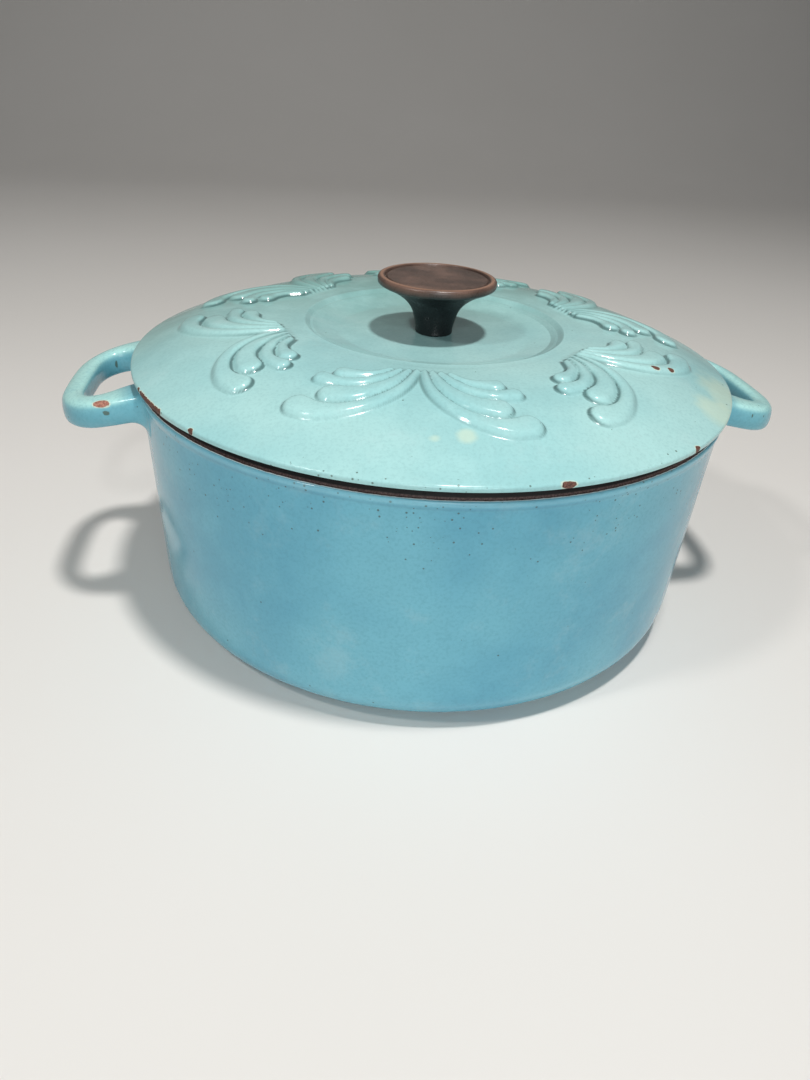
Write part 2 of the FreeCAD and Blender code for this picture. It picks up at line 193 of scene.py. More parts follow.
def make_pot():
    """The pot's body: outside from the middle of the foot to the rim, then the inside."""
    inner = RIM_RADIUS - WALL_THICKNESS
    inner_foot = inner - INSIDE_DEPTH * WALL_SLOPE
    profile = rounded([
        (0, FOOT_RECESS),
        (FOOT_RING_RADIUS, FOOT_RECESS, 2.0),
        (FOOT_RING_RADIUS + 2.2, 0, 1.2),
        (wall_radius(0), 0, 18.7),
        (wall_radius(RIM_HEIGHT - 8.6) - 0.2, RIM_HEIGHT - 8.6, 3.4),
        (RIM_RADIUS, RIM_HEIGHT - 5.8, 2.6),
        (RIM_RADIUS, RIM_HEIGHT - 4.2, 1.0),
        (RIM_RADIUS - 1.7, RIM_HEIGHT - 3.7, 0.3),
        (RIM_RADIUS - 3.1, RIM_HEIGHT, 1.4),
        (inner, RIM_HEIGHT, 1.4),
        (inner_foot, FLOOR_HEIGHT, 18.8),
        (0, FLOOR_HEIGHT),
    ], longest=5.0, arc_step=9.0)
    count = 360
    rings = []
    for radius, height in profile:
        ring = circle(radius, height, count)
        if radius > 1.0 and 4.0 < height < RIM_HEIGHT - 4.0:
            ring = [cast_ripple(p) for p in ring]
        rings.append(ring)
    mesh = make_mesh("pot", *ring_stack(rings))
    inside, bare = [], []
    outer_count = next(i for i, p in enumerate(profile) if p[1] > RIM_HEIGHT - 0.01)
    for index, ((radius, height), ring) in enumerate(zip(profile, rings)):
        within = 1.0 if index >= outer_count + 3 else 0.0
        top = min(1.0, max(0.0, (RIM_RADIUS - 0.7 - radius) / 0.9))
        if height <= RIM_HEIGHT - RIM_BEVEL:
            top = 0.0
        on_foot = index < outer_count and height < 0.6 and radius > FOOT_RING_RADIUS - 2.0
        foot = 1.0 if on_foot else 0.0
        inside.extend([within] * len(ring))
        bare.extend([max(top, foot)] * len(ring))
    add_attribute(mesh, "inside", inside)
    add_attribute(mesh, "bare", bare)
    return mesh


def cast_ripple(point):
    """A sand casting is never quite true: move a wall point in or out a little."""
    x, y, z = point
    angle = math.atan2(y, x)
    fade = min(1.0, (RIM_HEIGHT - 4.0 - z) / 20.0) * min(1.0, (z - 4.0) / 16.0)
    wave = (math.sin(3 * angle + 0.7) + 0.7 * math.sin(5 * angle + 0.05 * z + 2.1)
            + 0.5 * math.sin(9 * angle - 0.07 * z + 4.0) + 0.4 * math.sin(0.11 * z + 2 * angle))
    scale = 1.0 + RIPPLE * fade * wave / math.hypot(x, y)
    return (x * scale, y * scale, z)


# ---------------------------------------------------------------- loop handles

HANDLE_SLOPE = 0.22              # the bar rises towards the wall
HANDLE_THICKNESS = 13.2
HANDLE_TOP_AT_TIP = 107.7
ROOT_REACH = 13.0                # how far from the wall the painted top light fades out, so the enamel keeps the wall's colour
FILLET_STATIONS = (9.0, 7.4, 6.0, 4.7, 3.5, 2.5, 1.6, 0.9, 0.4, 0.12, 0.0)   # off the wall


def handle_top(x):
    """Height of the bar's top at a distance from the pot's axis."""
    return HANDLE_TOP_AT_TIP + HANDLE_SLOPE * (HANDLE_REACH - x)


def smooth_line(points, count):
    """Catmull-Rom curve through points, given back as evenly spaced samples."""
    points = np.array(points, dtype=float)
    padded = np.vstack([2 * points[0] - points[1], points, 2 * points[-1] - points[-2]])
    samples = []
    for k in range(1, len(padded) - 2):
        a, b, c, d = padded[k - 1:k + 3]
        for t in np.linspace(0, 1, 24, endpoint=False):
            samples.append(0.5 * ((2 * b) + (c - a) * t + (2 * a - 5 * b + 4 * c - d) * t ** 2
                                  + (3 * b - a - 3 * c + d) * t ** 3))
    samples.append(points[-1])
    samples = np.array(samples)
    steps = np.linalg.norm(np.diff(samples[:, :2], axis=0), axis=1)
    length = np.concatenate([[0], np.cumsum(steps)])
    at = np.linspace(0, length[-1], count)
    return np.stack([np.interp(at, length, samples[:, i]) for i in range(samples.shape[1])], 1)


def section_outline(width, thickness, count=40, corner=4.6):
    """Rounded rectangle about the origin: (across, up) and its normal's (across, up)."""
    radius = min(corner, 0.48 * width, 0.48 * thickness)
    half_w, half_t = 0.5 * width - radius, 0.5 * thickness - radius
    points = []
    for k in range(count):
        angle = 2 * math.pi * (k + 0.5) / count
        c, s = math.cos(angle), math.sin(angle)
        across = math.copysign(half_w, c) * min(1.0, abs(c) * 2.2) + radius * c
        up = math.copysign(half_t, s) * min(1.0, abs(s) * 2.2) + radius * s
        points.append((across, up, c, s))
    return points


def make_handle(side):
    """Loop handle swept round its C, each end flaring out onto the pot's wall."""
    # half of the C, from the tip to the wall: (x, y) outside and inside of the bar
    outer = [(HANDLE_REACH, 0), (HANDLE_REACH - 0.3, 10), (HANDLE_REACH - 1.4, 20),
             (HANDLE_REACH - 5.0, 29.8), (HANDLE_REACH - 11.0, 37.6), (HANDLE_REACH - 18, 42.2),
             (HANDLE_REACH - 25.5, 44.0), (HANDLE_REACH - 34, 44.8), (127, 45.6)]
    inner = [(HANDLE_REACH - 11.6, 0), (HANDLE_REACH - 11.75, 9), (HANDLE_REACH - 12.2, 18),
             (HANDLE_REACH - 14.4, 25.0), (HANDLE_REACH - 18.4, 28.6), (HANDLE_REACH - 23.2, 29.2),
             (HANDLE_REACH - 27.5, 27.6), (HANDLE_REACH - 34, 24.2), (132, 22.4)]
    half = np.hstack([smooth_line(outer, 34), smooth_line(inner, 34)])
    mirrored = half[:0:-1] * np.array([1, -1, 1, -1])
    stations = np.vstack([mirrored, half])
    rings = []
    for ox, oy, ix, iy in stations:
        middle = np.array([0.5 * (ox + ix), 0.5 * (oy + iy)])
        across = np.array([ox - ix, oy - iy])
        width = np.linalg.norm(across)
        across /= width
        ring = []
        for a, up, c, s in section_outline(width, HANDLE_THICKNESS):
            x, y = middle + across * a
            z = handle_top(x) - 0.5 * HANDLE_THICKNESS + up
            ring.append(((x, y, z), (across[0] * c, across[1] * c, s)))
        rings.append(ring)
    rings = flare_onto_wall(rings)
    placed = [[(side * x, side * y, z) for x, y, z in ring] for ring in rings]
    vertices, faces = ring_stack(placed)
    first = list(range(len(placed[0])))
    last = [len(vertices) - len(placed[-1]) + k for k in range(len(placed[-1]))]
    mesh = make_mesh("handle", vertices, faces + [tuple(first), tuple(last)])
    away = [math.hypot(x, y) - wall_radius(z) for x, y, z in vertices]
    add_attribute(mesh, "root", [min(1.0, max(0.0, 1.0 - gap / ROOT_REACH)) for gap in away])
    add_attribute(mesh, "upward", [normal.vector.z for normal in mesh.vertex_normals])
    return mesh


def flare_onto_wall(rings):
    """Trim a swept bar at the pot's wall with a fillet that is tangent to the wall."""
    lines = []
    for number in range(len(rings[0])):
        points = np.array([ring[number][0] for ring in rings])
        normals = np.array([ring[number][1] for ring in rings])
        gap = np.hypot(points[:, 0], points[:, 1]) - wall_radius(points[:, 2])
        far = np.where(gap > FILLET_STATIONS[0])[0]
        start, stop = far[0], far[-1]
        ends = []
        for span, order in ((slice(0, start + 1), 1), (slice(stop, None), -1)):
            g, p, n = gap[span][::order], points[span][::order], normals[span][::order]
            rising = np.maximum.accumulate(g)
            line = []
            for distance in FILLET_STATIONS[::-1]:
                at = [np.interp(distance, rising, p[:, i]) for i in range(3)]
                normal = np.array([np.interp(distance, rising, n[:, i]) for i in range(3)])
                line.append(flared(np.array(at), normal, distance))
            ends.append(line)
        lines.append((ends[0], points[start + 1:stop], ends[1][::-1]))
    body_counts = min(len(line[1]) for line in lines)
    resampled = []
    for head, body, tail in lines:
        body = np.array([head[-1]] + list(body) + [tail[0]])
        steps = np.concatenate([[0], np.cumsum(np.linalg.norm(np.diff(body, axis=0), axis=1))])
        at = np.linspace(0, steps[-1], body_counts + 2)
        even = np.stack([np.interp(at, steps, body[:, i]) for i in range(3)], 1)
        resampled.append(np.vstack([head[:-1], even, tail[1:]]))
    sections = np.transpose(np.array(resampled), (1, 0, 2))
    ends = []      # two more rings at each end, just under the wall's surface
    for section in (sections[0], sections[-1]):
        for growth, depth in ((1.05, 0.3), (1.05, 2.0)):
            grown = section.mean(axis=0) + (section - section.mean(axis=0)) * growth
            radius = np.hypot(grown[:, 0], grown[:, 1])
            scale = (wall_radius(grown[:, 2]) - depth) / radius
            ends.append(np.column_stack([grown[:, :2] * scale[:, None], grown[:, 2]]))
    return [ends[1], ends[0]] + list(sections) + [ends[2], ends[3]]


def flared(point, normal, distance):
    """Push a point out from its bar the nearer it is to the wall, as a fillet does."""
    x, y = point[:2]
    radius = math.hypot(x, y)
    outwards = np.array([x / radius, y / radius, -WALL_SLOPE])
    along = normal - outwards * normal.dot(outwards)
    along /= np.linalg.norm(along)
    fillet = 4.2 - 2.6 * along[2] if along[2] > 0 else 4.2 - 3.4 * along[2]
    near = max(0.0, fillet - distance)
    push = fillet - math.sqrt(fillet ** 2 - near ** 2)
    moved = point + along * push
    wanted = wall_radius(moved[2]) + distance
    scale = wanted / math.hypot(moved[0], moved[1])
    return np.array([moved[0] * scale, moved[1] * scale, moved[2]])


# ---------------------------------------------------------------- lid

MOTIF_TURNS = (17.6, 77.3, 137.3, 197.1, 257.3, 318.7)      # axes, in degrees from +X
RELIEF = 2.5                     # height of the lobes
RELIEF_SHIFT = 0.9               # the lobes sit this much nearer the knob than LOBES says
RELIEF_BAND = (74.0, 124.8)      # radii between which there is relief
LOBE_FOOT = 0.8                  # how far a lobe's side runs out beyond its edge
CREASE_WIDTH = 0.72              # of the dark line along a lobe's edge: glaze gathered in the crease plus painted shade
RECESS_EDGE = (57.0, 63.0)       # radii of the recess's edge, where painted shade darkens the enamel
CREST_RADIUS = 64.3
LID_THICKNESS = 4.8
SCREW_HOLE_RADIUS = 3.3
# centre line of each lobe of half a palmette, foot to bulb: (sideways, outwards, width)
LOBES = [
    [(12.2, 77.4, 4.0), (17.2, 82.2, 5.2), (21.2, 83.8, 5.8), (25.8, 84.4, 6.8),
     (30.6, 84.0, 8.8)],
    [(8.4, 77.2, 4.0), (12.9, 84.0, 5.4), (17.4, 88.2, 6.0), (22.6, 91.2, 6.2),
     (28.6, 92.2, 6.6), (34.0, 91.2, 7.4), (38.2, 89.2, 8.4)],
    [(4.9, 77.0, 4.0), (8.4, 86.0, 5.8), (12.2, 92.4, 7.2), (18.0, 98.0, 8.6),
     (24.8, 101.0, 10.0), (32.6, 101.4, 11.4)],
    [(1.7, 77.0, 4.0), (3.9, 88.0, 5.0), (7.6, 96.8, 5.8), (13.6, 104.2, 6.4),
     (21.0, 109.4, 7.0), (30.0, 112.4, 8.2), (38.4, 112.0, 10.4), (44.2, 109.2, 12.0)],
]


def dome_height(radius):
    """Outside of the lid between its crest and its edge."""
    t = np.clip((radius - CREST_RADIUS) / 80.2, 0.0, 1.0)
    lip = np.clip((radius - 130.0) / 13.0, 0.0, 1.0)
    return 121.4 + 17.4 * (1.0 - t ** 2.61) + 0.9 * lip ** 2


def lobe_field(across, outwards):
    """Height, 0 to 1, and crease darkening, 0 to 1, of the palmette at points of the plan:
    gathered glaze plus painted shade.
    """
    height = np.zeros_like(across)
    second = np.zeros_like(across)          # height of the lower of two lobes that meet
    outline = np.zeros_like(across)         # dark line along the lobes' edges: gathered glaze plus painted shade
    for lobe in LOBES:
        spine = smooth_line([(x, y - RELIEF_SHIFT, w) for x, y, w in lobe], 60)
        past_edge = np.full_like(across, 99.0)
        swell = np.zeros_like(across)
        inward = np.zeros_like(across)      # 1 on the side towards the knob, -1 on the other
        for (ax, ay, aw), (bx, by, bw) in zip(spine, spine[1:]):
            run = np.array([bx - ax, by - ay])
            t = ((across - ax) * run[0] + (outwards - ay) * run[1]) / run.dot(run)
            t = np.clip(t, 0.0, 1.0)
            aside = (across - ax - t * run[0], outwards - ay - t * run[1])
            gap = np.hypot(*aside) + 1e-9
            half = 0.5 * (aw + t * (bw - aw))
            edge = gap - half
            closer = edge < past_edge
            past_edge = np.where(closer, edge, past_edge)
            rise = np.clip((LOBE_FOOT - edge) / (LOBE_FOOT + np.minimum(half, 2.0)), 0.0, 1.0)
            crown = 1.0 - (1.0 - np.clip(-edge / half, 0.0, 1.0)) ** 2
            grown = 0.80 * (rise * rise * (3.0 - 2.0 * rise)) ** 0.8 + 0.20 * crown
            grown *= 0.66 + 0.34 * np.clip(half / 4.5, 0, 1)
            swell = np.where(closer, grown, swell)
            inward = np.where(closer, -aside[1] / gap, inward)
        second = np.maximum(second, np.minimum(height, swell))
        height = np.maximum(height, swell)
        # painted shade: the dark line is painted deeper on the side towards the knob than on the
        # outer side
        depth = 1.45 * (0.45 + 0.27 * inward)
        line = np.minimum(1.0, depth * np.exp(-((past_edge - 0.1) / CREASE_WIDTH) ** 2))
        outline = np.maximum(outline, line * (swell >= height - 1e-6))
    joined = np.clip(second / np.maximum(height, 0.05), 0.0, 1.0)
    between = np.clip((joined - 0.58) / 0.36, 0.0, 1.0) ** 1.6 * (height > 0.08)
    return height, np.maximum(outline, between)


def relief_on(radius, angles):
    """Palmette field round a ring of the lid."""
    away = np.full_like(angles, 9.0)
    for turn in MOTIF_TURNS:
        local = (angles - math.radians(turn) + math.pi) % (2.0 * math.pi) - math.pi
        away = np.where(np.abs(local) < np.abs(away), local, away)
    return lobe_field(np.abs(radius * np.sin(away)), radius * np.cos(away))


def lid_count(radius):
    """Points in a ring of the lid's top: most where there is relief."""
    if radius < 20.0:
        return 112
    if radius < 66.0 or radius > 126.5:
        return 224
    if radius < RELIEF_BAND[0] or radius > RELIEF_BAND[1]:
        return 448
    return 896


def make_lid():
    """The lid: top from the screw hole out to the edge, then the underside back in."""
    floor, edge_low = RECESS_HEIGHT, lid_low[2] / MM
    seat, wall, hole = RIM_HEIGHT, LID_THICKNESS, SCREW_HOLE_RADIUS
    crest = float(dome_height(CREST_RADIUS))
    hollow = rounded([
        (hole, floor),
        (46.5, floor, 12.0),
        (56.8, floor + 2.3, 6.0),
        (59.2, floor + 3.2, 0.6),
        (60.4, floor + 3.3, 0.5),
        (62.8, crest + 0.2, 1.6),
        (66.5, crest - 0.10),
    ], longest=6.0, arc_step=10.0)
    slopes = [67.5, 69.0, 71.0, 73.0]
    slopes += list(np.arange(75.0, 124.7, 0.70))
    slopes += [125.8, 127, 129.5, 132, 134.5, 137, 139.5, 141.5]
    outside = [(r, float(dome_height(r))) for r in slopes]
    under = rounded([
        (141.5, float(dome_height(141.5))),
        (LID_RADIUS, 122.75, 1.2),
        (LID_RADIUS - 0.15, 120.4, 0.7),
        (140.2, 120.5, 0.6),
        (139.6, seat, 0.4),
        (136.2, seat, 0.8),
        (135.7, edge_low, 1.2),
        (132.6, edge_low, 1.0),
        (131.6, 123.2, 3.0),
        (120.0, 132.1 - wall, 30.0),
        (100.0, float(dome_height(100.0)) - wall, 60.0),
        (68.0, crest - wall, 12.0),
        (52.0, floor - wall, 12.0),
        (hole, floor - wall),
    ], longest=6.0, arc_step=12.0)
    profile = [(p, "top") for p in hollow + outside] + [(p, "under") for p in under[1:]]
    rings, creases, lower, bare = [], [], [], []
    for (radius, height), part in profile:
        count = lid_count(radius) if part == "top" else 112 if radius < 20.0 else 224
        ring = np.array(circle(radius, height, count))
        angles = np.arctan2(ring[:, 1], ring[:, 0])
        crease = np.zeros(count)
        if part == "top" and RELIEF_BAND[0] < radius < RELIEF_BAND[1]:
            raised, crease = relief_on(radius, angles)
            # painted shade: the creases are painted fainter on the back half of the lid (+Y)
            crease *= 1.0 - 0.4 * np.clip(np.sin(angles), 0.0, 1.0)
            ring[:, 2] += RELIEF * raised
        elif part == "top" and RECESS_EDGE[0] < radius < RECESS_EDGE[1]:
            # painted shade on the recess's edge, all round and strongest towards the front right
            towards_front_right = np.cos(angles + math.radians(50.0))
            crease += 0.14 + 0.28 * np.clip(towards_front_right, 0.0, 1.0)
        rings.append([tuple(p) for p in ring])
        creases.extend(crease)
        outside_edge = height > 120.3 and radius > 141.3
        lower.extend([0.0 if part == "top" or outside_edge else 1.0] * count)
        on_seat = part == "under" and 132.0 < radius < 141.6 and height < 121.5
        bare.extend([1.0 if on_seat else 0.0] * count)
    mesh = make_mesh("lid", *ring_stack(rings, closed=True))
    add_attribute(mesh, "crease", creases)
    add_attribute(mesh, "inside", lower)
    add_attribute(mesh, "bare", bare)
    return mesh


# ---------------------------------------------------------------- knob

SOCKET_TOP = 147.0       # the brass insert fills the knob's socket up to here


def make_knob():
    """The knob: stem, disc with a raised ring round its top, and the insert's socket."""
    base, top = RECESS_HEIGHT, KNOB_TOP
    stem = smooth_line([(9.15, base + 1.0), (9.2, base + 2.6), (9.9, base + 6.2),
                        (11.3, base + 10.6), (13.2, base + 13.6), (15.8, base + 16.2),
                        (19.2, base + 18.6), (23.2, base + 20.8), (26.6, base + 22.3)], 34)
    disc = top - 0.55
    outline = rounded([
        (INSERT_RADIUS, base),
        (8.8, base, 0.35),
        (9.15, base + 0.6, 0.3),
        (9.15, base + 1.0),
    ])
    outline += [tuple(p) for p in stem[1:]]
    outline += rounded([
        (26.8, base + 22.4),
        (KNOB_RADIUS, base + 23.3, 1.2),
        (KNOB_RADIUS, top, 1.5),
        (25.4, top, 0.7),
        (24.9, disc - 0.75, 0.35),
        (24.3, disc - 0.75, 0.3),
        (23.9, disc, 0.4),
        (12.0, disc + 0.12, 30.0),
        (0, disc + 0.14),
    ], longest=4.0, arc_step=10.0)
    socket = rounded([
        (0, SOCKET_TOP),
        (INSERT_RADIUS, SOCKET_TOP, 0.4),
        (INSERT_RADIUS, base),
    ])
    profile = outline + socket[:-1]
    rings = [circle(r, z, 192) for r, z in profile]
    return make_mesh("knob", *ring_stack(rings, closed=True))


# ---------------------------------------------------------------- materials

class Shader:
    """Small helper that writes a material's nodes."""

    def __init__(self, name):
        self.material = bpy.data.materials.new(name)
        self.material.use_nodes = True
        self.tree = self.material.node_tree
        self.surface = self.tree.nodes["Principled BSDF"]
        self.place = self.add("ShaderNodeTexCoord").outputs["Object"]

    def add(self, kind, **settings):
        """New node with its settings."""
        node = self.tree.nodes.new(kind)
        for key, value in settings.items():
            setattr(node, key, value)
        return node

    def link(self, value, socket):
        """Feed a socket from another node's output or a plain value."""
        if hasattr(value, "links"):
            self.tree.links.new(value, socket)
        else:
            socket.default_value = value

    def math(self, operation, a, b=0.0, c=0.0):
        node = self.add("ShaderNodeMath", operation=operation)
        for value, socket in zip((a, b, c), node.inputs):
            self.link(value, socket)
        return node.outputs[0]

    def spread(self, value, low, high, to_low=0.0, to_high=1.0):
        """Smooth step of a value from low..high to to_low..to_high."""
        node = self.add("ShaderNodeMapRange", interpolation_type="SMOOTHSTEP")
        for number, part in enumerate((value, low, high, to_low, to_high)):
            self.link(part, node.inputs[number])
        return node.outputs[0]

    def noise(self, scale, detail=3.0, roughness=0.5, place=None, offset=0.0):
        """Noise about 0.5; scale is in features per metre."""
        node = self.add("ShaderNodeTexNoise")
        place = place or self.place
        if offset:
            shift = self.add("ShaderNodeVectorMath", operation="ADD")
            self.link(place, shift.inputs[0])
            shift.inputs[1].default_value = (offset, 0.7 * offset, 1.3 * offset)
            place = shift.outputs[0]
        self.link(place, node.inputs["Vector"])
        node.inputs["Scale"].default_value = scale
        node.inputs["Detail"].default_value = detail
        node.inputs["Roughness"].default_value = roughness
        return node.outputs["Fac"]

    def attribute(self, name):
        return self.add("ShaderNodeAttribute", attribute_name=name).outputs["Fac"]

    def mix(self, factor, a, b):
        node = self.add("ShaderNodeMix", data_type="RGBA")
        colours = [socket for socket in node.inputs if socket.type == "RGBA"]
        self.link(factor, node.inputs[0])
        self.link(a, colours[0])
        self.link(b, colours[1])
        return [socket for socket in node.outputs if socket.type == "RGBA"][0]

    def blot(self, centre, radii, fray, ragged):
        """Distance from an irregular spot: 0 at its centre, 1 at its edge. Millimetres."""
        shift = self.add("ShaderNodeVectorMath", operation="SUBTRACT")
        self.link(self.place, shift.inputs[0])
        shift.inputs[1].default_value = [MM * c for c in centre]
        scale = self.add("ShaderNodeVectorMath", operation="DIVIDE")
        self.link(shift.outputs[0], scale.inputs[0])
        scale.inputs[1].default_value = [MM * r for r in radii]
        length = self.add("ShaderNodeVectorMath", operation="LENGTH")
        self.link(scale.outputs[0], length.inputs[0])
        rough_edge = self.math("MULTIPLY_ADD", fray, ragged, -0.5 * ragged)
        return self.math("ADD", length.outputs["Value"], rough_edge)

    def bump(self, height, distance):
        """Normal from a height field; distance is in metres."""
        node = self.add("ShaderNodeBump")
        node.inputs["Strength"].default_value = 1.0
        node.inputs["Distance"].default_value = distance
        self.link(height, node.inputs["Height"])
        return node.outputs["Normal"]


def srgb(red, green, blue):
    """Linear colour from 0-255 display values."""
    def linear(value):
        value /= 255.0
        return value / 12.92 if value <= 0.04045 else ((value + 0.055) / 1.055) ** 2.4
    return (linear(red), linear(green), linear(blue), 1.0)


# worn places on the enamel: (x, y, z) and reach in mm, in the object's own frame
LID_CHIPS = [
    ((-134.4, -52.6, 123.0), (1.2, 1.8, 2.0)),
    ((-108.4, -95.0, 122.4), (1.8, 1.4, 2.0)),
    ((29.8, -141.2, 122.4), (3.4, 1.6, 2.0)),
    ((92.0, -111.4, 122.4), (2.2, 1.8, 2.0)),
    ((90.7, -58.4, 136.6), (2.2, 1.2, 2.4)),
    ((99.3, -56.4, 135.6), (2.0, 1.0, 2.0)),
]
for degrees in np.linspace(202.8, 211.6, 12):         # one long chip, a bite at a time
    bite, edge = math.radians(degrees), LID_RADIUS + 0.9
    LID_CHIPS.append(((edge * math.cos(bite), edge * math.sin(bite), 122.0), (1.9, 1.9, 2.0)))
LID_STAINS = [
    ((127.0, -57.0, 125.0), (15.0, 20.0, 14.0)),
    ((115.0, -79.0, 125.5), (13.0, 16.0, 12.0)),
    ((-5.4, -120.3, 131.9), (4.4, 4.4, 8.0)),
    ((-17.2, -120.8, 129.5), (3.0, 2.6, 3.4)),
    ((-87.4, -62.1, 133.0), (4.0, 3.0, 4.0)),
]
HANDLE_CHIPS = [
    ((-153.0, -42.8, 112.0), (4.2, 2.6, 1.7)),
]
HANDLE_MARKS = [
    ((-150.4, -44.9, 108.2), (2.0, 2.2, 1.3)),
    ((-159.3, 29.4, 104.8), (0.8, 2.2, 2.8)),
    ((153.0, -45.0, 108.6), (0.6, 2.4, 1.4)),
    ((160.6, -42.6, 107.4), (0.7, 2.4, 1.2)),
]


def chips(shader, places, fray):
    """Distance from the nearest chip: below 1 is bare metal, a little over 1 its pale rim."""
    nearest = None
    for centre, radii in places:
        reach = shader.blot(centre, radii, fray, 0.7)
        nearest = reach if nearest is None else shader.math("MINIMUM", nearest, reach)
    return nearest


def pits(shader, density, reach, share, where):
    """Small dark pinholes, 1 at their centres, in a share of the cells where `where` is high."""
    cells = shader.add("ShaderNodeTexVoronoi")
    shader.link(shader.place, cells.inputs["Vector"])
    cells.inputs["Scale"].default_value = density
    parts = shader.add("ShaderNodeSeparateColor")
    shader.link(cells.outputs["Color"], parts.inputs[0])
    chosen = shader.math("LESS_THAN", parts.outputs[0], shader.math("MULTIPLY", where, share))
    size = shader.math("MULTIPLY_ADD", parts.outputs[1], 0.8 * reach, 0.3 * reach)
    reached = shader.math("DIVIDE", cells.outputs["Distance"], size)
    spot = shader.spread(reached, 0.7, 1.1, 1.0, 0.0)
    return shader.math("MULTIPLY", spot, chosen)


def glaze_tone(shader, parts, clouds, base, deep, back_shade_paint, top_light_paint):
    """Colour of the glaze before any wear: cloudy, mottled and finely speckled, with painted shade
    towards the back and painted light on faces that look up.
    """
    broad, middle = clouds
    fine = shader.noise(700.0, 3.0, 0.65, offset=5.0)
    colour = shader.mix(shader.spread(broad, 0.36, 0.66), base, deep)
    if back_shade_paint is not None:
        # painted shade: the colour goes darker towards the back (+Y), a little more on the left
        lean = shader.math("MULTIPLY_ADD", parts.outputs["X"], -0.10, parts.outputs["Y"])
        colour = shader.mix(shader.spread(lean, -0.05, 0.12, 0.0, 0.95), colour, back_shade_paint)
    if top_light_paint is not None:
        # painted light: faces that look up are painted paler, fading out near the wall
        upper = shader.spread(shader.attribute("upward"), 0.0, 0.85)
        free = shader.spread(shader.attribute("root"), 0.0, 1.0, 1.0, 0.0)
        colour = shader.mix(shader.math("MULTIPLY", upper, free), colour, top_light_paint)
    mottled = shader.spread(middle, 0.40, 0.75, 0.0, 0.30)
    colour = shader.mix(mottled, colour, tuple(1.12 * c for c in base[:3]) + (1.0,))
    return shader.mix(shader.spread(fine, 0.42, 0.70, 0.0, 0.22), colour,
                      tuple(0.66 * c for c in deep[:3]) + (1.0,))


def glaze_dirt(shader, colour, stain_places, marks, scuff):
    """Pale stains, dark knocks and a film of scuffs on the glaze."""
    for centre, radii in stain_places:
        reach = shader.blot(centre, radii, shader.noise(90.0, 3.0, offset=13.0), 0.9)
        stained = shader.spread(reach, 0.40, 1.15, 0.58, 0.0)
        colour = shader.mix(stained, colour, srgb(206, 224, 202))
    for centre, radii in marks:
        reach = shader.blot(centre, radii, shader.noise(420.0, 3.0, offset=37.0), 0.9)
        colour = shader.mix(shader.spread(reach, 0.75, 1.05, 0.85, 0.0), colour, srgb(78, 94, 80))
    return shader.mix(shader.spread(scuff, 0.52, 0.74, 0.0, 0.16), colour, srgb(190, 214, 214))


def glaze_pinholes(shader, level, scuff, band, share):
    """Pinholes, crowded in a band of heights (from, to) and scattered where it is scuffed."""
    patchy = shader.spread(shader.noise(30.0, 3.0, offset=41.0), 0.36, 0.60)
    near_band = shader.math("MULTIPLY", shader.spread(level, MM * band[0], MM * band[1]), patchy)
    scattered = pits(shader, 300.0, 0.14, 0.06, shader.spread(scuff, 0.38, 0.58))
    return shader.math("MAXIMUM", pits(shader, 430.0, 0.22, share, near_band), scattered)


def lip_light_and_shade(shader, colour, level):
    """Painted light and shade on the pot's lip: a light band on its crown, a shade line below it,
    and a near-white highlight where the enamel ends.
    """
    # painted light: a paler band on the lip's crown
    lip_crown_light = shader.spread(level, MM * (RIM_HEIGHT - 6.7), MM * (RIM_HEIGHT - 5.6), 0.0, 0.17)
    colour = shader.mix(lip_crown_light, colour, srgb(180, 228, 240))
    # painted shade: a darker line below the lip
    below = shader.math("ABSOLUTE", shader.math("SUBTRACT", level, MM * (RIM_HEIGHT - 7.4)))
    colour = shader.mix(shader.spread(below, 0.0, 0.0012, 0.16, 0.0), colour, srgb(62, 92, 122))
    # painted highlight: a near-white line where the enamel ends
    edge_highlight = shader.spread(shader.attribute("bare"), 0.0, 0.22, 0.0, 0.92)
    return shader.mix(edge_highlight, colour, srgb(228, 244, 246))


def chipped_iron(shader, colour, places, fray, grain_tone, rust):
    """Chips down to rusty iron, each with a pale rim of broken glaze."""
    reach = chips(shader, places, fray)
    pale_rim = shader.spread(reach, 1.02, 1.32, 0.75, 0.0)
    colour = shader.mix(pale_rim, colour, srgb(214, 222, 200))
    metal = shader.spread(reach, 0.96, 1.02, 1.0, 0.0)
    rusty = shader.mix(grain_tone, srgb(*rust[0]), srgb(*rust[1]))
    return shader.mix(metal, colour, rusty), metal


def unglazed_iron(shader, colour, level, fray, grain_tone):
    """Iron left bare where the castings touch: brown outside, black on top of the rim, the dark
    iron there deepened by painted shadow in the gap under the lid.
    """
    edge = shader.math("MULTIPLY_ADD", fray, 0.7, shader.attribute("bare"))
    wear_and_highlight = shader.spread(edge, 0.82, 0.92)
    # near-black on top of the rim: the iron's own dark plus painted shadow from the lid in the gap
    gap_shadow = shader.spread(level, MM * (RIM_HEIGHT - 3.3), MM * (RIM_HEIGHT - 2.7))
    iron = shader.mix(grain_tone, srgb(60, 44, 44), srgb(98, 80, 76))
    iron = shader.mix(gap_shadow, iron, srgb(15, 13, 13))
    return shader.mix(wear_and_highlight, colour, iron), wear_and_highlight


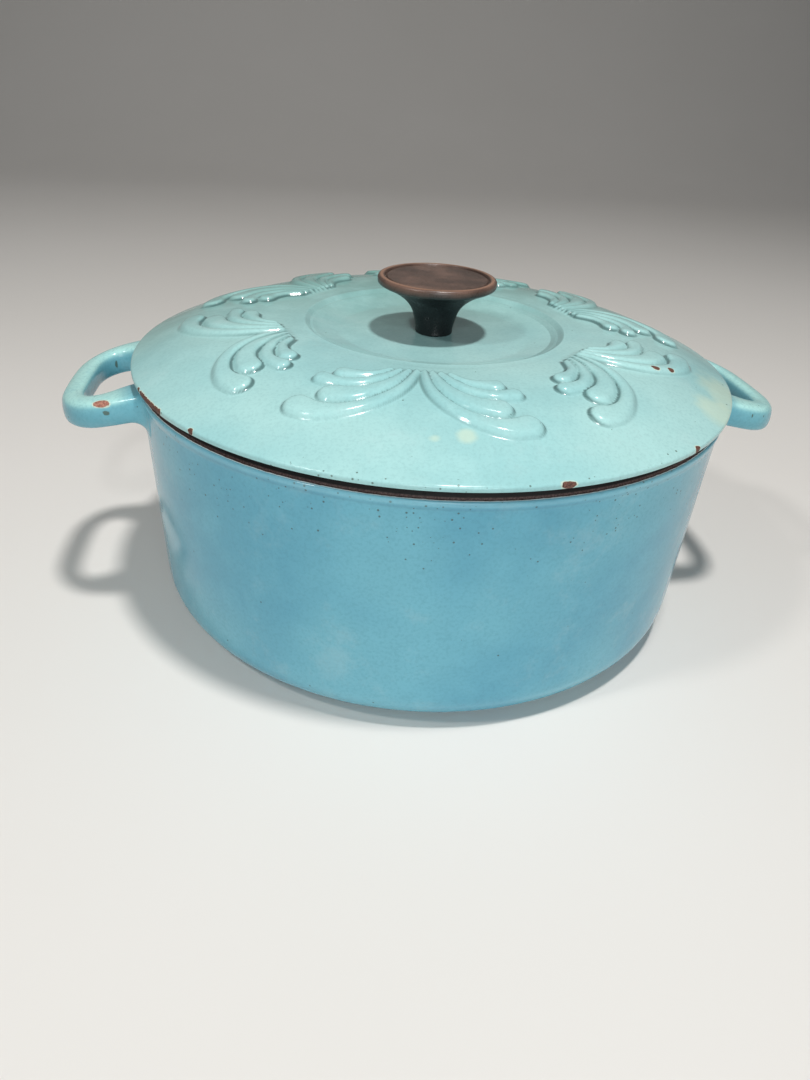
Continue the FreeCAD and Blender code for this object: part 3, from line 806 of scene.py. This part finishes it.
def enamel(name, base, deep, chip_places=(), stain_places=(), crease_pool_and_shade=False, two_sided=False,
           marks=(), lip=False, top_light_paint=None, back_shade_paint=None, pit_band=(0.0, 1.0), pit_share=0.8,
           rust=((68, 46, 40), (124, 84, 72))):
    """Old vitreous enamel on cast iron.

    base and deep are its two cloudy tones; top_light_paint is a paler tone painted as light on
    faces that look up, and back_shade_paint a darker one painted as shade towards the back.
    crease_pool_and_shade darkens the creases with gathered glaze plus painted shade; lip paints
    bands of light and shade on the pot's lip; two_sided gives cream enamel and bare iron where the
    mesh says. Pinholes get denser from pit_band's first height to its second.
    """
    shader = Shader(name)
    parts = shader.add("ShaderNodeSeparateXYZ")
    shader.link(shader.place, parts.inputs[0])
    level = parts.outputs["Z"]
    broad, middle = shader.noise(14.0, 2.0), shader.noise(70.0, 3.0, offset=3.0)
    colour = glaze_tone(shader, parts, (broad, middle), base, deep, back_shade_paint, top_light_paint)
    if crease_pool_and_shade:
        # darkens the creases: glaze gathered there plus painted shade
        dark = shader.spread(shader.attribute("crease"), 0.06, 0.78, 0.0, 0.78)
        colour = shader.mix(dark, colour, srgb(58, 88, 88))
    scuff = shader.noise(32.0, 5.0, 0.7, offset=31.0)
    colour = glaze_dirt(shader, colour, stain_places, marks, scuff)
    holes = glaze_pinholes(shader, level, scuff, pit_band, pit_share)
    colour = shader.mix(shader.math("MULTIPLY", holes, 0.68), colour, srgb(74, 82, 66))
    if two_sided:
        cream = shader.mix(shader.spread(broad, 0.3, 0.7),
                           srgb(226, 218, 196), srgb(214, 203, 176))
        colour = shader.mix(shader.spread(shader.attribute("inside"), 0.4, 0.6), colour, cream)

    fray = shader.noise(420.0, 4.0, 0.6, offset=17.0)
    grain = shader.noise(1300.0, 3.0, 0.7, offset=23.0)
    grain_tone = shader.spread(grain, 0.35, 0.65)
    metals = []
    if chip_places:
        colour, metal = chipped_iron(shader, colour, chip_places, fray, grain_tone, rust)
        metals.append(metal)
    if lip:
        colour = lip_light_and_shade(shader, colour, level)
    if two_sided:
        colour, metal = unglazed_iron(shader, colour, level, fray, grain_tone)
        metals.append(metal)

    rough = shader.spread(middle, 0.3, 0.7, 0.12, 0.20)
    height = shader.math("MULTIPLY_ADD", shader.noise(260.0, 2.0, offset=9.0), 0.55,
                         shader.math("MULTIPLY", middle, 0.9))
    metal = metals[0] if len(metals) == 1 else shader.math("MAXIMUM", *metals)
    rough = shader.spread(metal, 0.0, 1.0, rough, 0.62)
    sunk = shader.math("MULTIPLY", metal, shader.math("MULTIPLY_ADD", grain, 2.0, 1.6))
    height = shader.math("SUBTRACT", shader.math("SUBTRACT", height, sunk), holes)
    shader.link(colour, shader.surface.inputs["Base Color"])
    shader.link(rough, shader.surface.inputs["Roughness"])
    shader.surface.inputs["Specular IOR Level"].default_value = 0.32
    shader.link(shader.bump(height, 0.00012), shader.surface.inputs["Normal"])
    return shader.material


def phenolic():
    """Black moulded knob, dulled by years of oven heat, with a warm reflection painted brown on
    its top.
    """
    shader = Shader("phenolic_black_painted_reflection")
    parts = shader.add("ShaderNodeSeparateXYZ")
    shader.link(shader.place, parts.inputs[0])
    cloud = shader.noise(60.0, 4.0, 0.6)
    high = shader.math("MULTIPLY_ADD", cloud, 0.004, parts.outputs["Z"])
    # painted reflection: the knob's top is painted warm brown
    warm_reflection = shader.spread(high, MM * (KNOB_TOP - 2.6), MM * (KNOB_TOP + 2.2))
    brown = shader.mix(shader.spread(cloud, 0.35, 0.7), srgb(76, 60, 53), srgb(110, 87, 77))
    colour = shader.mix(warm_reflection, srgb(23, 26, 27), brown)
    flat = shader.add("ShaderNodeCombineXYZ")
    shader.link(parts.outputs["X"], flat.inputs["X"])
    shader.link(parts.outputs["Y"], flat.inputs["Y"])
    radius = shader.add("ShaderNodeVectorMath", operation="LENGTH")
    shader.link(flat.outputs[0], radius.inputs[0])
    off_ring = shader.math("ABSOLUTE", shader.math("SUBTRACT", radius.outputs["Value"], MM * 26.6))
    # painted highlight: a pale bronze line painted along the ring's top
    wear_and_highlight = shader.math("MULTIPLY", warm_reflection, shader.spread(off_ring, 0.0, 0.0014, 0.85, 0.0))
    colour = shader.mix(wear_and_highlight, colour, srgb(158, 120, 98))
    fine = shader.noise(1500.0, 2.0)
    rough = shader.spread(fine, 0.3, 0.7, 0.26, 0.38)
    shader.link(colour, shader.surface.inputs["Base Color"])
    shader.link(rough, shader.surface.inputs["Roughness"])
    shader.link(shader.bump(fine, 0.00003), shader.surface.inputs["Normal"])
    return shader.material


def metal_finish(name, light, dark, roughness):
    """Turned metal with fine lines round the axis."""
    shader = Shader(name)
    cloud = shader.noise(300.0, 4.0, 0.6)
    brush = shader.add("ShaderNodeMapping")
    shader.link(shader.place, brush.inputs["Vector"])
    brush.inputs["Scale"].default_value = (1.0, 1.0, 14.0)
    lines = shader.noise(420.0, 3.0, 0.6, place=brush.outputs[0])
    shader.link(shader.mix(cloud, dark, light), shader.surface.inputs["Base Color"])
    shader.link(shader.spread(lines, 0.3, 0.7, roughness - 0.08, roughness + 0.1),
                shader.surface.inputs["Roughness"])
    shader.link(shader.bump(lines, 0.00002), shader.surface.inputs["Normal"])
    shader.surface.inputs["Metallic"].default_value = 1.0
    return shader.material


def set_material(piece, material):
    """Give a piece or a CAD node one material in every slot."""
    if not piece.material_slots:
        piece.data.materials.append(material)
    for slot in piece.material_slots:
        slot.material = material


# ---------------------------------------------------------------- the object

# one enamel in lit and shaded copies: the lid's copy is painted paler as lit from above, the pot's
# and the handles' copies darker and bluer as painted shade
aqua_lid = enamel("enamel_aqua_lid_painted_lit", srgb(170, 213, 212), srgb(155, 204, 206), LID_CHIPS,
                  LID_STAINS, crease_pool_and_shade=True, two_sided=True, back_shade_paint=srgb(120, 162, 155),
                  pit_band=(126.0, 122.0), pit_share=0.45)
aqua_pot = enamel("enamel_aqua_pot_painted_shade", srgb(114, 180, 197), srgb(98, 166, 188), two_sided=True,
                  lip=True, pit_band=(80.0, 108.0), pit_share=1.0)
aqua_handle = enamel("enamel_aqua_handles_painted_light_and_shade", srgb(114, 178, 191), srgb(98, 163, 181), HANDLE_CHIPS,
                     marks=HANDLE_MARKS, top_light_paint=srgb(176, 224, 220), pit_band=(90.0, 100.0),
                     pit_share=0.12, rust=((136, 88, 76), (186, 132, 114)))

pot = add_object("pot", make_pot(), "pot", "enamelled_iron", "pot_body")
set_material(pot, aqua_pot)
for handle_name, side in (("loop_handle_right", 1.0), ("loop_handle_left", -1.0)):
    loop = add_object(handle_name + "_casting", make_handle(side), "pot", "enamelled_iron",
                      handle_name)
    set_material(loop, aqua_handle)
lid = add_object("lid_casting", make_lid(), "lid", "enamelled_iron", "lid")
set_material(lid, aqua_lid)
knob = add_object("knob_moulding", make_knob(), "knob", "phenolic", "knob")
set_material(knob, phenolic())

steel = metal_finish("zinc_plated_steel", srgb(190, 190, 186), srgb(140, 140, 138), 0.34)
brass = metal_finish("turned_brass", srgb(214, 178, 104), srgb(170, 132, 70), 0.30)
for node in ("knob_screw", "lock_washer", "flat_washer"):
    set_material(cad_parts[node], steel)
set_material(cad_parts["knob_insert"], brass)


# ---------------------------------------------------------------- floor, light and camera

def plain_paper():
    """Pale matt paper with a faint cloudiness."""
    shader = Shader("studio_paper")
    soft = shader.noise(3.0, 2.0)
    shader.link(shader.mix(soft, srgb(224, 222, 218), srgb(230, 228, 225)),
                shader.surface.inputs["Base Color"])
    shader.surface.inputs["Roughness"].default_value = 0.8
    return shader.material


def make_sweep():
    """Pale paper sweep: a floor that curves up behind the object."""
    back, half_width, tall = 2.6, 3.5, 3.0
    profile = rounded([(-3.0, 0.0), (back, 0.0, 1.2), (back, tall)], longest=0.5, arc_step=5.0)
    vertices, faces = [], []
    for y, z in profile:
        vertices.extend([(side * half_width / MM, y / MM, z / MM) for side in (-1.0, 1.0)])
    for k in range(len(profile) - 1):
        faces.append((2 * k, 2 * k + 1, 2 * k + 3, 2 * k + 2))
    mesh = make_mesh("studio_sweep", vertices, faces)
    sweep = bpy.data.objects.new("studio_sweep", mesh)
    bpy.context.scene.collection.objects.link(sweep)
    set_material(sweep, plain_paper())


def area_light(name, place, target, size, power, colour):
    """Round soft light at a place, turned to a target; size in metres, power in watts."""
    data = bpy.data.lights.new(name, "AREA")
    data.shape = "DISK"
    data.size = size
    data.energy = power
    data.color = colour
    lamp = bpy.data.objects.new(name, data)
    lamp.location = place
    lamp.rotation_euler = (Vector(target) - Vector(place)).to_track_quat("-Z", "Y").to_euler()
    bpy.context.scene.collection.objects.link(lamp)


make_sweep()
area_light("overhead_key", (0.14, -0.27, 1.55), (0, 0, 0.13), 0.15, 15.6, (0.99, 0.96, 0.93))
area_light("overhead_left", (-0.80, -0.45, 1.20), (0, 0, 0.13), 0.16, 4.2, (1.0, 0.97, 0.93))
area_light("front_fill", (0.0, -1.5, 0.52), (0, 0, 0.08), 0.9, 9.0, (0.92, 0.965, 0.985))
area_light("front_spark", (0.05, -1.35, 1.15), (0, 0, 0.10), 0.10, 2.8, (1.0, 0.99, 0.97))

world = bpy.data.worlds.new("studio")
bpy.context.scene.world = world
world.use_nodes = True
world.node_tree.nodes["Background"].inputs["Color"].default_value = (0.86, 0.88, 0.9, 1.0)
world.node_tree.nodes["Background"].inputs["Strength"].default_value = 0.07

# the camera looks down at the front from a little to the left; degrees
CAMERA_PLACE = (-0.0664, -0.3884, 0.2526)
CAMERA_HEADING = 8.62        # from +Y towards +X
CAMERA_DIP = 31.34           # below level
CAMERA_ROLL = 3.68           # its right side up

camera_data = bpy.data.cameras.new("camera")
camera_data.lens = 26.95
camera_data.sensor_width = 36.0
camera_data.clip_start = 0.01
camera = bpy.data.objects.new("camera", camera_data)
camera.matrix_world = (Matrix.Translation(CAMERA_PLACE)
                       @ Matrix.Rotation(math.radians(-CAMERA_HEADING), 4, "Z")
                       @ Matrix.Rotation(math.radians(90.0 - CAMERA_DIP), 4, "X")
                       @ Matrix.Rotation(math.radians(CAMERA_ROLL), 4, "Z"))
bpy.context.scene.collection.objects.link(camera)
bpy.context.scene.camera = camera

bpy.context.scene.view_settings.view_transform = "Standard"
